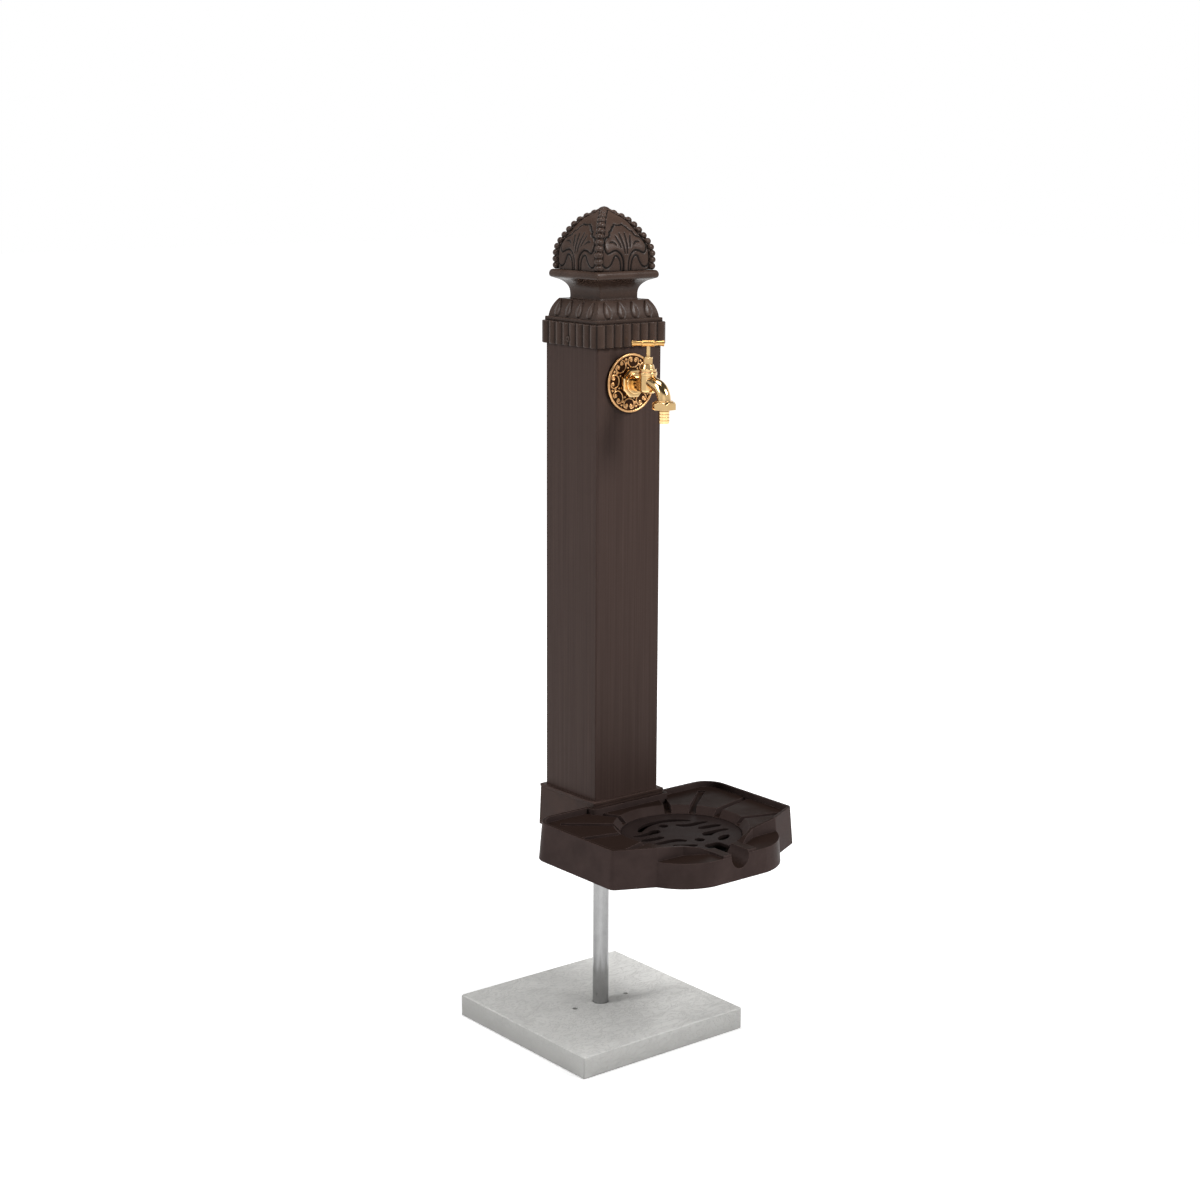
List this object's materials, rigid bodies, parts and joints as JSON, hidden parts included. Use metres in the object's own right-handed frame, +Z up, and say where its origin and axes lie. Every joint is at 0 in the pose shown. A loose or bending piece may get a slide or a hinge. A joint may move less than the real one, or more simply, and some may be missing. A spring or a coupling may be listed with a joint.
{
  "type": "garden standpipe",
  "caption": "Square brown garden standpipe with a reeded cap and domed finial, a brass bib tap on a rosette, a splash basin with a grate, and a footing slab below.",
  "frame": {"origin": "centre of the footing slab's underside, at the open foot of the riser pipe, on the post's axis", "axes": "+Z up along the post, -Y forward to the tap and the basin, +X to the right as seen from the front"},
  "size_m": [0.35, 0.4724, 1.2598],
  "materials": {
    "footing_slab": "rough",
    "base_shoe": "satin",
    "post": "satin",
    "basin": "satin",
    "grate": "satin",
    "riser_pipe": "satin",
    "pipe_grommet": "matte",
    "riser_elbow": "satin",
    "post_screws": "satin",
    "basin_screws": "satin",
    "cap_collar": "matte",
    "cap_screws": "satin",
    "cap_bolt": "satin",
    "finial": "matte",
    "rosette_gasket": "matte",
    "rosette": "satin",
    "tap_body": "polished",
    "backnut_washer": "satin",
    "tap_backnut": "satin",
    "bonnet_gasket": "matte",
    "bonnet": "polished",
    "gland_nut": "polished",
    "gland_packing": "matte",
    "tap_spindle": "polished",
    "tee_handle": "satin",
    "jumper": "satin",
    "jumper_washer": "matte",
    "hose_washer": "matte",
    "hose_tail": "polished",
    "hose_nut": "polished"
  },
  "bodies": {
    "footing": {"footing_slab": "footing_slab"},
    "column": {"base_shoe": "base_shoe", "post": "post", "basin": "basin", "riser_pipe": "riser_pipe", "pipe_grommet": "pipe_grommet", "riser_elbow": "riser_elbow", "post_screws": "post_screws", "basin_screws": "basin_screws", "cap_collar": "cap_collar", "cap_screws": "cap_screws", "cap_bolt": "cap_bolt", "finial": "finial", "rosette_gasket": "rosette_gasket", "rosette": "rosette", "tap_body": "tap_body", "backnut_washer": "backnut_washer", "tap_backnut": "tap_backnut", "bonnet_gasket": "bonnet_gasket", "bonnet": "bonnet", "gland_nut": "gland_nut", "gland_packing": "gland_packing"},
    "tap_jumper": {"jumper": "jumper", "jumper_washer": "jumper_washer"},
    "tap_spindle": {"tap_spindle": "tap_spindle", "tee_handle": "tee_handle"},
    "hose_seal": {"hose_washer": "hose_washer"},
    "hose_tail": {"hose_tail": "hose_tail"},
    "hose_nut": {"hose_nut": "hose_nut"},
    "grate": {"grate": "grate"}
  },
  "joints": [
    {"name": "column_drop", "type": "slide", "parent": "footing", "child": "column", "axis": [0, 0, 1], "range_m": [-0.2837, 0]},
    {"name": "spindle_rise", "type": "slide", "parent": "column", "child": "tap_jumper", "axis": [0, 0, 1], "range_m": [0, 0.006]},
    {"name": "handle_turn", "type": "hinge", "parent": "tap_jumper", "child": "tap_spindle", "pos_m": [0, -0.102, 1.038], "axis": [0, 0, 1], "range_deg": [0, 1080]},
    {"name": "nut_drop", "type": "slide", "parent": "column", "child": "hose_seal", "axis": [0, 0, -1], "range_m": [0, 0.00545]},
    {"name": "hose_nut_turn", "type": "hinge", "parent": "hose_seal", "child": "hose_nut", "pos_m": [0, -0.13853, 0.978], "axis": [0, 0, -1], "range_deg": [0, 1080]},
    {"name": "tail_swivel", "type": "hinge", "parent": "hose_seal", "child": "hose_tail", "pos_m": [0, -0.13853, 0.968], "axis": [0, 0, -1], "continuous": true},
    {"name": "grate_lift", "type": "slide", "parent": "column", "child": "grate", "axis": [0, 0, 1], "range_m": [0, 0.06]}
  ],
  "couplings": [
    {"joint": "spindle_rise", "follows": "handle_turn", "m_per_rad": 0.00031799},
    {"joint": "nut_drop", "follows": "hose_nut_turn", "m_per_rad": 0.00028842}
  ]
}
